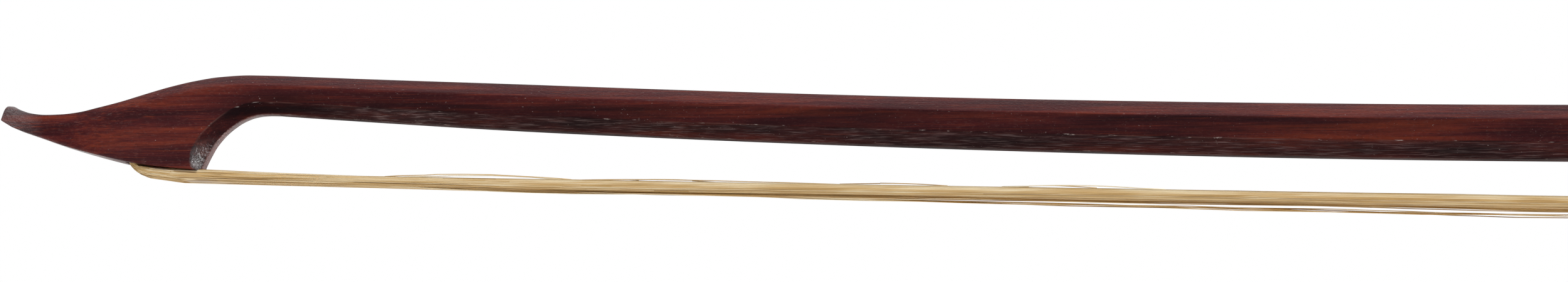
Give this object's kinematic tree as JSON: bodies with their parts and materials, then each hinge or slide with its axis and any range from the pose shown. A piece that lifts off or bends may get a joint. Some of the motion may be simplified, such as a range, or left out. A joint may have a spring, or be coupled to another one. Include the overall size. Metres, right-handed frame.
{
  "type": "baroque violin bow",
  "caption": "Slender baroque violin bow: octagonal stick cambered out over flat hair, long beaked head, open wooden frog and a turned screw button that tightens the hair.",
  "frame": {"origin": "under the middle of the bow, in its own middle plane, level with the base of the frog", "axes": "+X along the handle and its screw, from the beak towards the button; +Y across the bow; +Z from the hair towards the stick"},
  "size_m": [0.7034, 0.0098, 0.0333],
  "materials": {
    "bow_wood": "dark reddish-brown wood, varnished glossy",
    "frog_wood": "dark reddish-brown wood, oiled and polished",
    "plug_wood": "pale plain wood, cut smooth",
    "horsehair": "unbleached horsehair, softly shiny",
    "singed_hair": "tied hair end, singed and set with rosin",
    "linen_thread": "waxed linen thread",
    "eyelet_brass": "plain cast brass",
    "screw_steel": "turned and threaded steel",
    "bone": "polished bone"
  },
  "bodies": {
    "stick_and_hair": {"stick": "bow_wood", "head_plug": "plug_wood", "head_hair_knot": "singed_hair", "head_knot_thread": "linen_thread", "hair_ribbon": "horsehair", "loose_strand_upper_front": "horsehair", "loose_strand_upper_rear": "horsehair", "loose_strand_lower_near": "horsehair", "loose_strand_lower_far": "horsehair"},
    "frog_set": {"frog": "frog_wood", "frog_plug": "plug_wood", "frog_hair_knot": "singed_hair", "frog_knot_thread": "linen_thread", "eyelet": "eyelet_brass"},
    "screw_set": {"screw": "screw_steel", "button": "frog_wood", "button_collar": "bone", "button_pip": "bone"}
  },
  "joints": [
    {"name": "frog_slide", "type": "slide", "parent": "stick_and_hair", "child": "frog_set", "axis": [1, 0, 0], "range_m": [0, 0.00525], "deforming": ["hair_ribbon", "loose_strand_upper_front", "loose_strand_upper_rear", "loose_strand_lower_near", "loose_strand_lower_far"]},
    {"name": "screw_turn", "type": "hinge", "parent": "stick_and_hair", "child": "screw_set", "pos_m": [0.33835, 0, 0.0215], "axis": [-1, 0, 0], "range_deg": [0, 2701]}
  ],
  "couplings": [
    {"joint": "screw_turn", "follows": "frog_slide", "rad_per_m": 8976}
  ]
}
